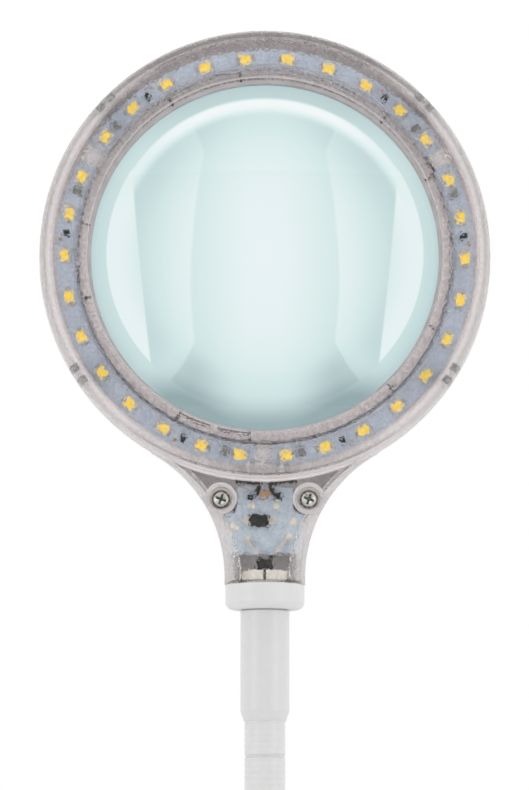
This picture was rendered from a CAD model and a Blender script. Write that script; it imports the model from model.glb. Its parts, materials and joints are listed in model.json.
"""Looks for the magnifying lamp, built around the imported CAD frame. Metres, in the CAD's frame."""

import json
import math

import bpy
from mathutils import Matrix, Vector

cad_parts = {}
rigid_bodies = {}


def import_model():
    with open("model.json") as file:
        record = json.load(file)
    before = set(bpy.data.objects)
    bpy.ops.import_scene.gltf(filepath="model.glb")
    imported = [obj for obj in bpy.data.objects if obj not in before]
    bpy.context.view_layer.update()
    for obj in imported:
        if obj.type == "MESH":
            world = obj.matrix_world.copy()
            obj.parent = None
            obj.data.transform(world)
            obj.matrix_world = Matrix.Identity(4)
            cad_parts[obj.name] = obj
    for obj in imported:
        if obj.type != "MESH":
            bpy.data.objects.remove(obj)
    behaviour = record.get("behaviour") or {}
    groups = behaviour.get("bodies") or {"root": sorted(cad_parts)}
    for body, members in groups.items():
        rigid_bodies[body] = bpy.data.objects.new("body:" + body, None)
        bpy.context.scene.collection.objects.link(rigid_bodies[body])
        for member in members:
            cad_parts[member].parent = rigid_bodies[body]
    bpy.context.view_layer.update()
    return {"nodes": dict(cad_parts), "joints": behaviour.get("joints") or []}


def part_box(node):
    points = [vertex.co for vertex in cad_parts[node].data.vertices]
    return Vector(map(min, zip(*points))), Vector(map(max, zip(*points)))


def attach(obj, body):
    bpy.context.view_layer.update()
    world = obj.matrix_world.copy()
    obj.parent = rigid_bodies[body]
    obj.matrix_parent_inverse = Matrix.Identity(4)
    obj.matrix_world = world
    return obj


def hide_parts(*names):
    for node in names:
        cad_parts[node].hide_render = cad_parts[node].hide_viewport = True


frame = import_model()
nodes = frame["nodes"]
scene = bpy.context.scene
scene.view_settings.view_transform = "Standard"

MM = 0.001


def middle(node):
    low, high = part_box(node)
    return (low + high) / 2


# ---- node helpers ----


class Shading:
    """Shorthand for a node tree. A value is a number, a colour or another node's output."""

    def __init__(self, tree):
        self.tree = tree

    def feed(self, socket, value):
        """Links a socket to another node's output, or sets it."""
        if hasattr(value, "is_linked"):
            self.tree.links.new(value, socket)
        elif socket.type == "RGBA":
            socket.default_value = (*value, 1.0)
        else:
            socket.default_value = value

    def node(self, kind, inputs=(), **settings):
        """A new node, with its inputs given by name or number."""
        made = self.tree.nodes.new(kind)
        for key, value in settings.items():
            setattr(made, key, value)
        for key, value in dict(inputs).items():
            self.feed(made.inputs[key], value)
        return made

    def maths(self, operation, *values):
        return self.node("ShaderNodeMath", dict(enumerate(values)),
                         operation=operation).outputs[0]

    def vector_maths(self, operation, *values):
        return self.node("ShaderNodeVectorMath", dict(enumerate(values)), operation=operation)

    def part(self, vector, axis):
        """One part of a vector, by the axis's letter."""
        return self.node("ShaderNodeSeparateXYZ", {0: vector}).outputs[axis]

    def times(self, first, second):
        return self.maths("MULTIPLY", first, second)

    def most(self, first, second):
        return self.maths("MAXIMUM", first, second)

    def less(self, value):
        """What is missing to 1."""
        return self.maths("SUBTRACT", 1.0, value)

    def rise(self, value, start, full):
        """0 at the start, 1 at the full place, straight between them; either may be higher."""
        return self.node("ShaderNodeMapRange", {"Value": value, "From Min": start,
                                                "From Max": full}).outputs["Result"]

    def window(self, value, low, full_low, full_high, high):
        """1 between the two full places, fading to 0 at the outer two."""
        return self.times(self.rise(value, low, full_low), self.rise(value, high, full_high))

    def ramp(self, value, stops):
        """A level or colour for each value; stops are (position, level or colour)."""
        made = self.node("ShaderNodeValToRGB", {"Fac": value})
        elements = made.color_ramp.elements
        while len(elements) < len(stops):
            elements.new(0.5)
        for element, (position, level) in zip(elements, stops):
            element.position = position
            colour = level if hasattr(level, "__len__") else (level,) * 3
            element.color = (*colour, 1.0)
        return made.outputs["Color"]

    def mix(self, factor, first, second):
        """The first colour where the factor is 0, the second where it is 1."""
        return self.node("ShaderNodeMix", {0: factor, 6: first, 7: second},
                         data_type="RGBA").outputs[2]


NOISE_ROUGHNESS = 0.55


class Surface(Shading):
    """A material: one Principled shader, fed by procedural textures in object space."""

    def __init__(self, name, **sockets):
        self.mat = bpy.data.materials.new(name)
        self.mat.use_nodes = True
        super().__init__(self.mat.node_tree)
        self.shader = self.tree.nodes["Principled BSDF"]
        self.coords = self.node("ShaderNodeTexCoord").outputs["Object"]
        self.last_bump = None
        for key, value in sockets.items():
            self.feed(self.shader.inputs[key.replace("_", " ")], value)

    def noise(self, size_mm, detail=3.0):
        """Noise whose features are about size_mm across."""
        return self.node("ShaderNodeTexNoise", {"Vector": self.coords, "Detail": detail,
                                                "Scale": 1 / (size_mm * MM),
                                                "Roughness": NOISE_ROUGHNESS}).outputs["Fac"]

    def wander(self, noise, dark, light, low=0.35, high=0.65):
        """Passes from dark to light as the noise passes from low to high."""
        return self.ramp(noise, [(low, dark), (high, light)])

    def seen_along_y(self, vector):
        """A vector in mm, without its part along Y."""
        return self.vector_maths("MULTIPLY", vector, (1 / MM, 0, 1 / MM)).outputs[0]

    def length(self, vector):
        return self.vector_maths("LENGTH", vector).outputs["Value"]

    def about_ring(self):
        """Distance from the ring's axis and height above it, in mm."""
        out = self.vector_maths("SUBTRACT", self.coords, middle("lens")).outputs[0]
        flat = self.seen_along_y(out)
        return self.length(flat), self.part(flat, "Z")

    def from_screws(self):
        """Distance from the nearer of the two head screws' axes, in mm."""
        low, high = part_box("head_screws")
        screw = ((high.x - low.x) / 2 - (high.z - low.z) / 2, 0, (low.z + high.z) / 2)
        mirrored = self.vector_maths("ABSOLUTE", self.coords).outputs[0]
        out = self.vector_maths("SUBTRACT", mirrored, screw).outputs[0]
        return self.length(self.seen_along_y(out))

    def facing_front(self):
        """1 on surfaces that face straight forward or back, 0 on side walls."""
        normal = self.node("ShaderNodeTexCoord").outputs["Normal"]
        return self.maths("ABSOLUTE", self.part(normal, "Y"))

    def above(self, height):
        """1 above a height, 0 below it."""
        return self.maths("GREATER_THAN", self.part(self.coords, "Z"), height)

    def colour(self, value):
        self.feed(self.shader.inputs["Base Color"], value)
        return self

    def mottle(self, size_mm, dark, light, low=0.35, high=0.65):
        """Colour that wanders between dark and light."""
        return self.colour(self.wander(self.noise(size_mm), dark, light, low, high))

    def rough(self, size_mm, low, high):
        """Roughness that wanders between low and high."""
        value = self.wander(self.noise(size_mm, 4.0), low, high, 0.3, 0.7)
        self.feed(self.shader.inputs["Roughness"], value)
        return self

    def bump(self, height, depth_mm):
        """Adds a height to the normal; later bumps ride on earlier ones."""
        inputs = {"Height": height, "Distance": depth_mm * MM, "Strength": 1.0}
        if self.last_bump is not None:
            inputs["Normal"] = self.last_bump
        self.last_bump = self.node("ShaderNodeBump", inputs).outputs["Normal"]
        self.feed(self.shader.inputs["Normal"], self.last_bump)
        return self

    def grain(self, size_mm, depth_mm):
        return self.bump(self.noise(size_mm, 2.0), depth_mm)

    def let_lamps_through(self, tint):
        """What lies behind is lit as if this were a tinted pane."""
        open_side = self.node("ShaderNodeBsdfTransparent", {"Color": tint}).outputs[0]
        lamps = self.node("ShaderNodeLightPath").outputs["Is Shadow Ray"]
        mixed = self.node("ShaderNodeMixShader", {0: lamps, 1: self.shader.outputs[0],
                                                  2: open_side}).outputs[0]
        self.feed(self.tree.nodes["Material Output"].inputs["Surface"], mixed)
        return self

    def wear(self, *names):
        """Puts this material on CAD nodes or other objects."""
        for name in names:
            obj = nodes[name] if isinstance(name, str) else name
            obj.data.materials.clear()
            obj.data.materials.append(self.mat)
        return self


# ---- mesh helpers ----


def new_object(name, verts, faces):
    mesh = bpy.data.meshes.new(name)
    mesh.from_pydata(verts, [], faces)
    mesh.validate()
    obj = bpy.data.objects.new(name, mesh)
    scene.collection.objects.link(obj)
    return obj


def smooth(obj):
    obj.data.polygons.foreach_set("use_smooth", [True] * len(obj.data.polygons))
    obj.data.update()


# ---- materials of the head's shells and rings ----
#
# A zone is the four places of a window, in mm: distances from the ring's axis (R), or from the
# nearer screw's axis for the bosses, and heights above the ring's axis (Z).

TOP_Z = (5, 45, 80, 90)

white = Surface("white_shell", Roughness=0.38, Specular_IOR_Level=0.5)
white.mottle(4, 0.785, (0.805, 0.805, 0.80)).rough(3, 0.32, 0.44)
white.grain(0.5, 0.012).wear("neck_collar")

SHELL_LAND_R = (50.0, 50.3, 52.3, 52.5)
SHELL_DECK_R = (58.1, 58.3, 60.9, 61.1)


def rear_plastic():
    """White outside; in front, the land inside the boards is a dull brown-grey, and the deck
    outside them is a grey that deepens towards the top."""
    made = Surface("white_shell_rear", Roughness=0.38)
    radius, height = made.about_ring()
    lens_y = middle("lens").y
    front = made.rise(made.part(made.coords, "Y"), lens_y + 2 * MM, lens_y + 1 * MM)
    land = made.times(made.window(radius, *SHELL_LAND_R), front)
    deck = made.times(made.window(radius, *SHELL_DECK_R), front)
    grit = made.noise(0.8, 0.5)
    outside = made.wander(made.noise(4), (0.89, 0.87, 0.865), (0.91, 0.89, 0.885))
    dull = made.wander(grit, (0.24, 0.20, 0.19), (0.52, 0.47, 0.46))
    grey = made.mix(made.window(height, *TOP_Z),
                    made.wander(grit, (0.62, 0.58, 0.57), (0.78, 0.74, 0.73)),
                    made.wander(grit, (0.32, 0.29, 0.29), (0.46, 0.43, 0.42)))
    made.colour(made.mix(deck, made.mix(land, outside, dull), grey))
    made.rough(3, 0.32, 0.44).grain(0.5, 0.012)
    return made


rear_plastic().wear("rear_shell")

COVER_FOOT_Z = (-72, -66, -48, -44)
COVER_RIM_R, COVER_RIM_Z = (58.6, 60.0, 62.9, 63.1), (-60, -47, 36, 54)
COVER_LIP_R, COVER_LIP_Z = (48.8, 49.2, 50.3, 50.7), (-90, -80, -10, 55)
COVER_STEP_R = (61.5, 61.9, 63.0, 63.4)
COVER_STUB_R = (59.5, 60.2, 61.2, 61.6)
COVER_BOSS_R = (2.4, 2.7, 4.3, 4.5)
COVER_SMOOTH_R = (48.6, 48.8, 50.3, 50.9)


def clear_cover():
    """Rippled clear plastic, milkier in its rim, its side walls, its screw bosses and the step
    between ring and neck."""
    made = Surface("clear_cover", IOR=1.33, Roughness=0.06, Alpha=0.85)
    radius, height = made.about_ring()
    ripple = made.noise(0.8, 0.0)
    foot = made.window(height, *COVER_FOOT_Z)
    rim = made.times(made.window(radius, *COVER_RIM_R), made.window(height, *COVER_RIM_Z))
    lip = made.times(made.window(radius, *COVER_LIP_R), made.window(height, *COVER_LIP_Z))
    step = made.times(made.window(radius, *COVER_STEP_R), foot)
    stub = made.times(made.window(radius, *COVER_STUB_R), foot)
    boss = made.window(made.from_screws(), *COVER_BOSS_R)
    side = made.times(made.rise(made.facing_front(), 0.75, 0.35), made.less(stub))
    milky = step
    for zone, share in ((rim, 0.8), (lip, 0.12), (side, 0.75), (boss, 0.85)):
        milky = made.most(milky, made.times(zone, share))
    made.feed(made.shader.inputs["Transmission Weight"],
              made.ramp(milky, [(0.0, 0.985), (1.0, 0.30)]))
    tint = made.wander(ripple, (0.84, 0.82, 0.825), (1.0, 0.985, 0.985), 0.34, 0.60)
    made.colour(made.mix(milky, tint, (0.95, 0.90, 0.90)))
    made.bump(made.times(ripple, made.less(made.window(radius, *COVER_SMOOTH_R))), 0.25)
    made.let_lamps_through((0.95, 0.94, 0.94))
    return made


clear_cover().wear("front_cover")

clips = Surface("clip_plastic", Roughness=0.5)
clips.mottle(0.9, (0.24, 0.24, 0.235), (0.46, 0.45, 0.445)).grain(0.3, 0.02).wear("cover_clips")

glass = Surface("lens_glass", Transmission_Weight=1.0, IOR=1.52, Roughness=0.0)
glass.mottle(40, (0.925, 0.972, 0.972), (0.935, 0.978, 0.978)).wear("lens")

IN_SHADE = (0.01, 0.01, 0.01)
GASKET_SHADE_R = (48.7, 48.9, 50.2, 50.3)


def gasket_rubber():
    """Grey; dark where it lies under the slots of the retaining ring."""
    made = Surface("lens_gasket", Roughness=0.5)
    radius, _ = made.about_ring()
    pale = made.wander(made.noise(3), (0.50, 0.55, 0.56), (0.58, 0.62, 0.63))
    made.colour(made.mix(made.window(radius, *GASKET_SHADE_R), pale, IN_SHADE))
    made.grain(0.3, 0.02)
    return made


gasket_rubber().wear("lens_gasket")

RETAINER_LAND_R = (49.45, 49.75, 51.2, 51.5)
RETAINER_SLOT_R = (49.4, 49.48, 50.02, 50.1)


def retainer_plastic():
    """Lilac-grey inner slope; the flat land outside it is paler and grainier, dimmer towards
    the top, and the walls of its slots are dark."""
    made = Surface("retainer_plastic", Roughness=0.42)
    radius, height = made.about_ring()
    slope = made.wander(made.noise(5), (0.46, 0.44, 0.45), (0.54, 0.52, 0.53))
    grit = made.noise(0.9, 0.5)
    pale = made.mix(made.window(height, *TOP_Z),
                    made.wander(grit, (0.48, 0.44, 0.44), (0.72, 0.67, 0.67)),
                    made.wander(grit, (0.22, 0.20, 0.20), (0.44, 0.40, 0.40)))
    land = made.mix(made.window(radius, *RETAINER_LAND_R), slope, pale)
    slot = made.times(made.window(radius, *RETAINER_SLOT_R), made.less(made.facing_front()))
    made.colour(made.mix(slot, land, IN_SHADE)).rough(1.5, 0.35, 0.5).grain(0.4, 0.02)
    return made


retainer_plastic().wear("lens_retainer")

# ---- materials of the boards and what is on them ----

board = Surface("board_mask", Roughness=0.35)
board.mottle(4, (0.50, 0.59, 0.70), (0.60, 0.69, 0.80)).rough(1.5, 0.25, 0.45)
board.grain(0.35, 0.012).wear("led_board_top", "led_board_right", "led_board_left")

driver = Surface("driver_mask", Roughness=0.35)
driver.mottle(3, (0.57, 0.68, 0.78), (0.69, 0.80, 0.89)).rough(1.5, 0.25, 0.45)
driver.grain(0.35, 0.012).wear("driver_board")

package = Surface("led_package", Roughness=0.4)
package.mottle(1, (0.78, 0.74, 0.62), (0.86, 0.83, 0.72)).grain(0.2, 0.01).wear("led_packages")

phosphor = Surface("led_phosphor", Roughness=0.25, Emission_Strength=0.25,
                   Emission_Color=(1.0, 0.72, 0.08), Coat_Weight=0.5)
phosphor.mottle(0.7, (1.0, 0.64, 0.05), (1.0, 0.76, 0.11)).grain(0.25, 0.02).wear("led_phosphor")

terminal = Surface("led_terminal", Roughness=0.45, Metallic=0.6)
terminal.mottle(0.5, (0.40, 0.39, 0.36), (0.62, 0.60, 0.55)).grain(0.15, 0.02)
terminal.wear("led_terminals")

black_chip = Surface("chip_black", Roughness=0.45, Specular_IOR_Level=0.1)
black_chip.mottle(0.8, 0.003, (0.02, 0.02, 0.019)).grain(0.12, 0.01)
black_chip.wear("chip_resistors", "driver_transistors", "driver_diode")

tan_chip = Surface("chip_ceramic", Roughness=0.45)
tan_chip.mottle(0.6, (0.38, 0.20, 0.10), (0.52, 0.32, 0.18)).grain(0.12, 0.01)
tan_chip.wear("chip_capacitors", "driver_capacitor")

grey_chip = Surface("chip_grey", Roughness=0.5)
grey_chip.mottle(0.8, (0.14, 0.15, 0.13), (0.34, 0.35, 0.32)).grain(0.12, 0.01).wear("chip_diodes")

solder = Surface("solder", Roughness=0.3, Metallic=1.0)
solder.mottle(0.5, (0.50, 0.51, 0.50), (0.72, 0.72, 0.70)).rough(0.4, 0.2, 0.45)
solder.grain(0.25, 0.03).wear("board_jumpers")

pad = Surface("pad_flux", Roughness=0.35)
pad.mottle(0.9, (0.70, 0.63, 0.46), (0.97, 0.94, 0.82), 0.3, 0.55).grain(0.25, 0.03)
pad.wear("driver_pads")


def cable_sheath(name, height):
    """Black insulation that turns pale above a height."""
    made = Surface(name, Roughness=0.5, Specular_IOR_Level=0.15)
    streaks = made.noise(1.0)
    black = made.wander(streaks, (0.003, 0.003, 0.004), (0.02, 0.017, 0.016), 0.3, 0.7)
    pale = made.wander(streaks, (0.66, 0.64, 0.64), (0.78, 0.76, 0.76), 0.3, 0.7)
    made.colour(made.mix(made.above(height), black, pale)).grain(0.3, 0.01)
    return made


board_bottom, board_top = (corner.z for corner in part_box("driver_board"))
cable_sheath("cable_sheath", board_bottom - 0.5 * MM).wear("head_cable")
cable_sheath("lead_sheath", board_top + 3.2 * MM).wear("board_leads")

# ---- materials of the screws, the ferrules and the base ----

steel = Surface("screw_steel", Roughness=0.2, Metallic=1.0)
steel.mottle(1.2, (0.60, 0.61, 0.60), (0.74, 0.75, 0.73)).rough(0.6, 0.12, 0.3)
steel.grain(0.3, 0.006).wear("base_screws", "neck_nut", "neck_washer")

RECESS_DARKENS, RECESS_DARK = 0.45 * MM, 0.85 * MM


def head_screw_steel():
    """Bright zinc with a greenish cast; the cross recess is dark at its bottom."""
    made = Surface("head_screw_steel", Metallic=1.0)
    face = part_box("head_screws")[0].y
    depth = made.part(made.coords, "Y")
    sunk = made.rise(depth, face + RECESS_DARKENS, face + RECESS_DARK)
    zinc = made.wander(made.noise(1.3, 1.0), (0.58, 0.62, 0.56), (0.99, 1.0, 0.97), 0.30, 0.60)
    dark = made.wander(made.noise(0.6, 1.0), (0.05, 0.06, 0.05), (0.30, 0.33, 0.28))
    made.colour(made.mix(sunk, zinc, dark)).rough(0.9, 0.14, 0.34).grain(0.5, 0.02)
    return made


head_screw_steel().wear("head_screws")


def ferrule_paint():
    """White paint; the slotted flange inside the neck is bare cream plastic."""
    made = Surface("ferrule_paint", Roughness=0.33)
    paint = made.wander(made.noise(3), 0.765, (0.785, 0.785, 0.78), 0.3, 0.7)
    cream = made.wander(made.noise(1.5), (0.92, 0.89, 0.78), (0.97, 0.95, 0.86), 0.3, 0.7)
    made.colour(made.mix(made.above(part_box("neck_collar")[0].z), paint, cream))
    made.rough(2, 0.27, 0.4).grain(0.6, 0.008)
    return made


ferrule_paint().wear("upper_ferrule", "lower_ferrule")

base_white = Surface("base_plastic", Roughness=0.4)
base_white.mottle(5, (0.805, 0.805, 0.80), (0.825, 0.825, 0.82)).rough(2, 0.32, 0.48)
base_white.grain(0.9, 0.03).wear("base_shell")

floor_plate = Surface("base_floor", Roughness=0.6)
floor_plate.mottle(8, (0.035, 0.036, 0.038), (0.055, 0.056, 0.058)).grain(0.8, 0.04)
floor_plate.wear("base_plate")

iron = Surface("ballast_iron", Roughness=0.6, Metallic=0.8)
iron.mottle(5, 0.10, (0.22, 0.21, 0.20)).grain(1.2, 0.1).wear("ballast")

rubber = Surface("foot_rubber", Roughness=0.75)
rubber.mottle(3, 0.018, 0.035).grain(0.5, 0.03).wear("rubber_feet")

moulded = Surface("moulded_black", Roughness=0.45)
moulded.mottle(3, (0.015, 0.015, 0.016), (0.03, 0.03, 0.032)).grain(0.4, 0.02)
moulded.wear("switch_housing", "dc_inlet")

button = Surface("button_grey", Roughness=0.32)
button.mottle(5, (0.50, 0.51, 0.52), (0.56, 0.57, 0.58)).rough(2, 0.26, 0.4)
button.grain(0.5, 0.01).wear("power_button")

wire_red = Surface("wire_red", Roughness=0.4)
wire_red.mottle(2, (0.30, 0.02, 0.02), (0.42, 0.03, 0.03)).grain(0.4, 0.01).wear("base_wires")

# ---- lens: the CAD's two spherical faces, with finer facets so that it refracts cleanly ----

LENS_EDGE = 2.6 * MM
LENS_RINGS, LENS_AROUND = 90, 256


def add_lens():
    low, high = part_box("lens")
    centre, radius = middle("lens"), (high.x - low.x) / 2
    half, edge = (high.y - low.y) / 2, LENS_EDGE / 2
    bulge = half - edge
    curve = (radius * radius + bulge * bulge) / (2 * bulge)
    rings, around = LENS_RINGS, LENS_AROUND
    verts, faces = [], []

    def add_point(r, y, j):
        angle = 2 * math.pi * j / around
        verts.append(centre + Vector((r * math.sin(angle), y, r * math.cos(angle))))

    def at(side, i, j):
        """The number of a point on a face: side 0 is the front, ring 0 is the centre point."""
        return side * (1 + rings * around) + (0 if i == 0 else 1 + (i - 1) * around + j % around)

    for side in (-1, 1):
        for i in range(rings + 1):
            r = radius * i / rings
            for j in range(around if i else 1):
                add_point(r, side * (math.sqrt(curve * curve - r * r) - curve + half), j)
    for side in (0, 1):
        for i in range(rings):
            for j in range(around):
                quad = [at(side, i, j), at(side, i + 1, j), at(side, i + 1, j + 1),
                        at(side, i, j + 1)]
                if i == 0:
                    quad = quad[:3]
                faces.append(quad if side else quad[::-1])
    wall = len(verts)
    for side in (-1, 1):
        for j in range(around):
            add_point(radius, side * edge, j)
    for j in range(around):
        k = (j + 1) % around
        faces.append([wall + j, wall + around + j, wall + around + k, wall + k][::-1])
    piece = new_object("lens_glass_body", verts, faces)
    smooth(piece)
    glass.wear(piece)
    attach(piece, "head")
    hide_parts("lens")


add_lens()

# ---- flexible neck: a ribbed length on each link, with a ball at each bending point ----

neck_skin = Surface("neck_skin", Roughness=0.34)
neck_skin.mottle(2.5, 0.775, (0.80, 0.80, 0.795)).rough(2, 0.28, 0.42)
neck_skin.grain(0.5, 0.008)

TUBE_R = 5.7 * MM
BALL_R = 5.45 * MM
BALL_STEPS = 12
CLEARANCE = 0.04 * MM
TIP_R = 0.02 * MM
TUCK = 3 * MM
RIBS = 11
RIB_STEPS = 8
RIB_DEPTH = 0.16 * MM
RIB_ROUNDNESS = 0.98
AROUND = 56


def ring_mesh(name, rows):
    """A closed band of revolution about the neck axis from (radius, height) rows."""
    axis_y = middle("lens").y
    verts, faces = [], []
    for radius, height in rows:
        for j in range(AROUND):
            angle = 2 * math.pi * j / AROUND
            verts.append((radius * math.cos(angle), axis_y + radius * math.sin(angle), height))
    for i in range(len(rows)):
        a, b = i * AROUND, (i + 1) % len(rows) * AROUND
        for j in range(AROUND):
            k = (j + 1) % AROUND
            faces.append((a + j, a + k, b + k, b + j))
    obj = new_object(name, verts, faces)
    smooth(obj)
    return obj


def rib_radius(part):
    """Outer radius at a share of one rib: a rounded wire with a fine groove at each side."""
    across = 2 * part - 1
    curve = math.sqrt(max(0.0, 1 - RIB_ROUNDNESS * across * across))
    return TUBE_R - RIB_DEPTH * (1 - curve)


def ball(height, gap):
    """The ball about a bending point, from the gap below it up to its tip."""
    first = math.asin(gap / BALL_R)
    rows = []
    for i in range(BALL_STEPS + 1):
        turn = -first + (math.pi / 2 + first) * i / BALL_STEPS
        rows.append((max(BALL_R * math.cos(turn), TIP_R), height + BALL_R * math.sin(turn)))
    return rows


def neck_length(index, body, low, high, ribs, gap):
    """One rigid ribbed length. A socket in its lower end turns about the ball of the length
    below, and the gap under its own ball is as wide as the hinge's range needs. The first
    length is tucked into the lower ferrule instead, and the last into the upper one."""
    if index:
        top = low + BALL_R + CLEARANCE
        rows = [(TIP_R, top), (BALL_R + CLEARANCE, top), (BALL_R + CLEARANCE, low)]
    else:
        rows = [(TIP_R, low - TUCK), (BALL_R, low - TUCK)]
    steps = round(ribs * RIB_STEPS)
    for i in range(steps + 1):
        height = low + (high - low) * i / steps
        rows.append((rib_radius(i % RIB_STEPS / RIB_STEPS), min(height, high - gap)))
        if height > high - gap:
            break
    rows += ball(high, gap) if gap else [(BALL_R, high + TUCK), (TIP_R, high + TUCK)]
    obj = ring_mesh(f"neck_length_{index:02d}", rows)
    neck_skin.wear(obj)
    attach(obj, body)
    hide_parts(f"neck_link_{index:02d}")


def add_neck():
    hinges = [joint for joint in frame["joints"] if joint["name"].startswith("neck_")]
    pivots = [joint["pos_m"][2] for joint in hinges]
    half_pitch = (pivots[1] - pivots[0]) / 2
    ends = [pivots[0] - half_pitch] + pivots + [pivots[-1] + half_pitch]
    bodies = [hinges[0]["parent"]] + [joint["child"] for joint in hinges]
    turns = [math.radians(max(map(abs, joint["range_deg"]))) for joint in hinges]
    gaps = [TUBE_R * math.tan(turn) + CLEARANCE for turn in turns] + [0]
    for index, body in enumerate(bodies):
        ribs = RIBS / 2 if index in (0, len(hinges)) else RIBS
        neck_length(index, body, ends[index], ends[index + 1], ribs, gaps[index])


add_neck()

# ---- stage, light and camera ----

FLOOR_HALF = 3.0


def add_stage():
    half = FLOOR_HALF
    corners = [(-half, -half, 0), (half, -half, 0), (half, half, 0), (-half, half, 0)]
    floor = new_object("floor", corners, [(0, 1, 2, 3)])
    paper = Surface("floor_paper", Roughness=0.9)
    paper.mottle(2, 0.845, 0.855).wear(floor)


FRAMED_HEIGHT = 218.83 * MM
AIM_RIGHT, AIM_DOWN = -0.111 * MM, 39.22 * MM
CAMERA_TILT = math.radians(5.4)
CAMERA_RANGE = 2.4
SENSOR = 36.0


def add_camera():
    """Looks up at the head from CAMERA_RANGE in front, and returns where it stands. The frame
    is FRAMED_HEIGHT tall at the front of the cover."""
    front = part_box("front_cover")[0].y
    aim = Vector((AIM_RIGHT, front, middle("lens").z - AIM_DOWN / math.cos(CAMERA_TILT)))
    data = bpy.data.cameras.new("camera")
    data.sensor_fit = "VERTICAL"
    data.sensor_height = SENSOR
    data.lens = SENSOR * CAMERA_RANGE / FRAMED_HEIGHT
    data.clip_end = 50
    camera = bpy.data.objects.new("camera", data)
    away = Vector((0, -math.cos(CAMERA_TILT), -math.sin(CAMERA_TILT)))
    camera.location = aim + away * CAMERA_RANGE
    camera.rotation_euler = (-away).to_track_quat("-Z", "Y").to_euler()
    scene.collection.objects.link(camera)
    scene.camera = camera
    return camera.location


LIGHT_AROUND, LIGHT_FRONT = 0.9, 0.40
PANEL_REACH = 0.1303
PANEL_LEVEL = [(0, 0.912), (0.345, 0.888), (0.45, 0.87), (0.55, 0.84), (0.655, 0.79),
               (0.724, 0.735), (0.79, 0.70), (0.9, 0.69), (1.6, 0.66)]
FOLD_LINE = [(-0.85, 0.44), (-0.6, 0.337), (-0.33, 0.38), (-0.06, 0.407), (0.15, 0.416),
             (0.28, 0.412), (0.49, 0.395), (0.62, 0.462), (0.76, 0.565)]
RIM_LEVEL = [(0.9, 0.675), (0.965, 0.62), (1.0, 0.56), (1.3, 0.62), (2.6, 0.80)]
PANEL_COLOURS = [(0.309, 0.412, 0.43), (0.52, 0.636, 0.652), (0.713, 0.854, 0.842),
                 (0.859, 0.934, 0.934), (0.912, 0.961, 0.98), (0.988, 0.985, 0.99)]


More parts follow.
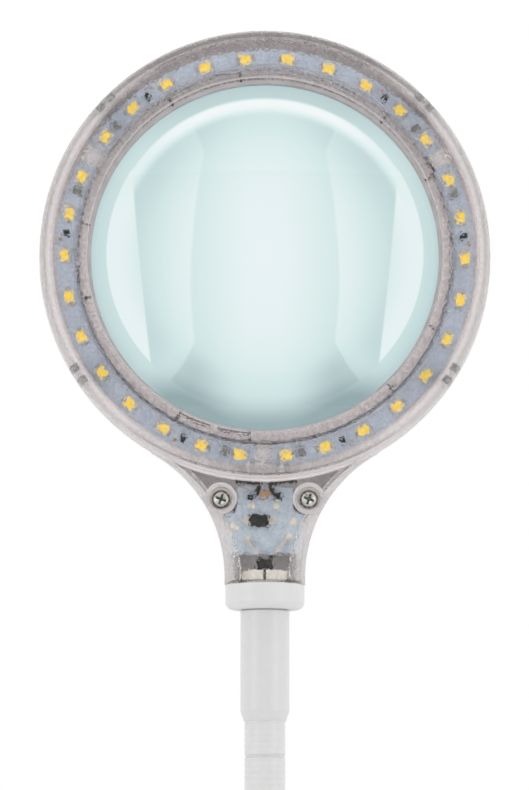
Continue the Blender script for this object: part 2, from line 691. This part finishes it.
def add_world(panel_rise):
    """White where it is looked at; as a light, dimmer from the front. Through the lens it shows
    a pale panel far behind the lamp, whose middle is at the slope panel_rise from the lens.
    Places on the panel are slopes too, as shares of PANEL_REACH."""
    world = bpy.data.worlds.new("studio")
    world.use_nodes = True
    scene.world = world
    sky = Shading(world.node_tree)
    maths, times = sky.maths, sky.times

    def ease(value, low, high, start=0.0, end=1.0):
        """A smooth passage from start to end between two places."""
        return sky.node("ShaderNodeMapRange", {"Value": value, "From Min": low, "From Max": high,
                                               "To Min": start, "To Max": end},
                        interpolation_type="SMOOTHSTEP").outputs["Result"]

    def curve(value, low, high, stops):
        """A level or colour along a value, from (place, level or colour) stops."""
        return sky.ramp(sky.rise(value, low, high),
                        [((place - low) / (high - low), level) for place, level in stops])

    def over(level, factor, upper):
        """The upper level laid over the level below it, as far as the factor says."""
        return sky.node("ShaderNodeMix", {0: factor, 2: level, 3: upper}).outputs[0]

    x, y, z = (sky.part(sky.node("ShaderNodeTexCoord").outputs["Generated"], axis)
               for axis in "XYZ")
    ahead = sky.most(y, 0.05)
    across = maths("ABSOLUTE", maths("DIVIDE", maths("DIVIDE", x, ahead), PANEL_REACH))
    up = maths("DIVIDE", maths("SUBTRACT", maths("DIVIDE", z, ahead), panel_rise), PANEL_REACH)
    reach = maths("SQRT", maths("MULTIPLY_ADD", across, across, times(up, up)))
    steep = maths("DIVIDE", up, sky.most(reach, 0.01))
    sinking = times(steep, -1.0)

    # the panel itself, duller away from its middle, brighter just past a fold on each side
    level = times(curve(reach, 0, 1.6, PANEL_LEVEL), ease(across, 0.06, 0.46, 1.0, 0.85))
    past = maths("SUBTRACT", across, curve(up, -0.9, 0.8, FOLD_LINE))
    boost = times(ease(past, -0.008, 0.012), ease(past, 0.0, 0.26, 0.20, 0.045))
    boost = times(boost, ease(up, -0.6, -0.25, 0.5, 0.85))
    level = maths("MULTIPLY_ADD", level, boost, level)

    # a bright D-shaped flap at each side and a bright arc at the foot
    flap = maths("SUBTRACT", across, maths("MULTIPLY_ADD", up, -0.085, 0.707))
    flap = times(ease(flap, -0.006, 0.010), ease(reach, 0.896, 0.912, 1.0, 0.0))
    level = over(level, flap, ease(reach, 0.70, 0.84, 0.80, 0.885))
    arc = times(ease(reach, 0.805, 0.872), ease(reach, 0.889, 0.915, 1.0, 0.0))
    arc = times(arc, ease(sinking, 0.26, 0.5))
    level = over(level, arc, ease(sinking, 0.62, 0.95, 0.85, 0.99))

    # its rim, then what dulls panel and rim towards the top
    rim = times(curve(reach, 0.9, 2.6, RIM_LEVEL), ease(sinking, 0.6, 0.95, 1.0, 0.86))
    level = over(level, ease(reach, 0.897, 0.917), rim)
    top_dull = times(ease(reach, 0.79, 1.0), ease(steep, 0.66, 0.90))
    side_dull = times(ease(reach, 0.6, 0.8), ease(steep, 0.72, 0.88))
    side_dull = times(side_dull, ease(across, 0.14, 0.43))
    dull = maths("MULTIPLY_ADD", top_dull, -0.42, maths("MULTIPLY_ADD", side_dull, -0.17, 1.0))
    seen = curve(times(level, dull), 0.28, 1.0, [(colour[0], colour) for colour in PANEL_COLOURS])

    lit = ease(y, -0.95, -0.35, LIGHT_FRONT, LIGHT_AROUND)
    grey = sky.node("ShaderNodeCombineXYZ", {0: lit, 1: lit, 2: lit}).outputs[0]
    path = sky.node("ShaderNodeLightPath").outputs
    through = times(path["Is Transmission Ray"], ease(y, 0.02, 0.1))
    light = sky.mix(path["Is Camera Ray"], sky.mix(through, grey, seen), (1, 1, 1))
    background = world.node_tree.nodes["Background"].inputs
    sky.feed(background["Color"], light)
    sky.feed(background["Strength"], 1.0)


# where each stands from the head's axis, its width and height, and its brightness
SOFTBOXES = {
    "softbox_left": ((-1.25, -0.95, 0.1), (0.6, 1.3), 1.6),
    "softbox_right": ((1.25, -0.95, 0.1), (0.6, 1.3), 1.75),
    "softbox_top": ((0, -0.2, 1.1), (1.2, 0.8), 0.6),
}


def add_softbox(name, place, size, radiance):
    """A rectangular light that faces the head."""
    head = middle("lens")
    data = bpy.data.lights.new(name, "AREA")
    data.shape = "RECTANGLE"
    data.size, data.size_y = size
    data.energy = radiance * math.pi * size[0] * size[1]
    lamp = bpy.data.objects.new(name, data)
    lamp.location = (place[0], place[1], head.z + place[2])
    lamp.rotation_euler = (head - lamp.location).to_track_quat("-Z", "Y").to_euler()
    lamp.visible_camera = False
    scene.collection.objects.link(lamp)


add_stage()
view = middle("lens") - add_camera()
add_world(view.z / view.y)
for name, settings in SOFTBOXES.items():
    add_softbox(name, *settings)
